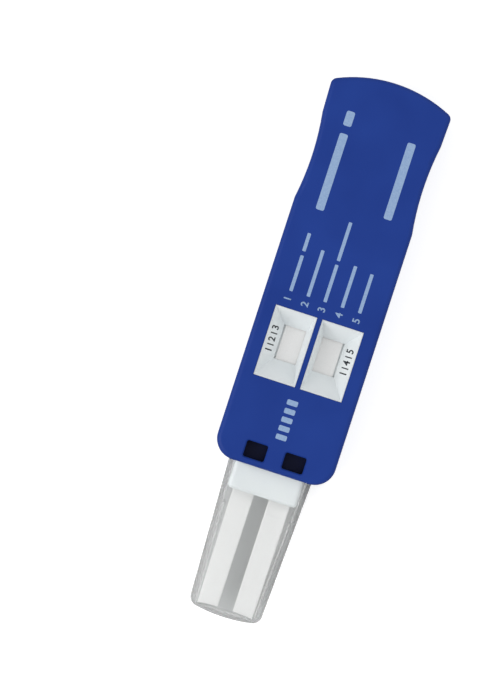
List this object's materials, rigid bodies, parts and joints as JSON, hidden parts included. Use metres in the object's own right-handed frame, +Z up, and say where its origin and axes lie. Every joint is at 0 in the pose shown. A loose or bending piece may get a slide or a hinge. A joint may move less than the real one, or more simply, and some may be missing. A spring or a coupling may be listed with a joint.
{
  "type": "lateral flow cassette",
  "caption": "Hand-held wipe-type lateral flow cassette: waisted flat housing, funnel reading windows, latch pockets, and absorbent wicks under a clear pull-off cap.",
  "frame": {"origin": "under the middle of the whole object, on the flat back it lies on", "axes": "+X across the width, +Y along the length towards the grip end, +Z up through the front face with the windows"},
  "size_m": [0.028, 0.1248, 0.013],
  "materials": {
    "housing_blue": "fine satin moulded",
    "carrier_white": "satin moulded",
    "clear_cap": "polished clear",
    "ampoule_glass": "clear, filled",
    "card_white": "smooth sheet",
    "membrane_paper": "fine porous",
    "conjugate_fibre": "glass fibre pad",
    "wick_fleece": "pressed fleece",
    "absorbent_paper": "thick blotting paper"
  },
  "bodies": {
    "housing": {"front_shell": "housing_blue", "rear_shell": "housing_blue", "window_frame": "carrier_white", "strip_tray": "carrier_white", "ampoule": "ampoule_glass", "left_backing_card": "card_white", "left_membrane": "membrane_paper", "left_conjugate_pad": "conjugate_fibre", "left_wick": "wick_fleece", "left_absorbent_pad": "absorbent_paper", "right_backing_card": "card_white", "right_membrane": "membrane_paper", "right_conjugate_pad": "conjugate_fibre", "right_wick": "wick_fleece", "right_absorbent_pad": "absorbent_paper"},
    "cap": {"cap": "clear_cap"}
  },
  "joints": [
    {"name": "cap_pull", "type": "slide", "parent": "housing", "child": "cap", "axis": [0, -1, 0], "range_m": [0, 0.036]}
  ]
}
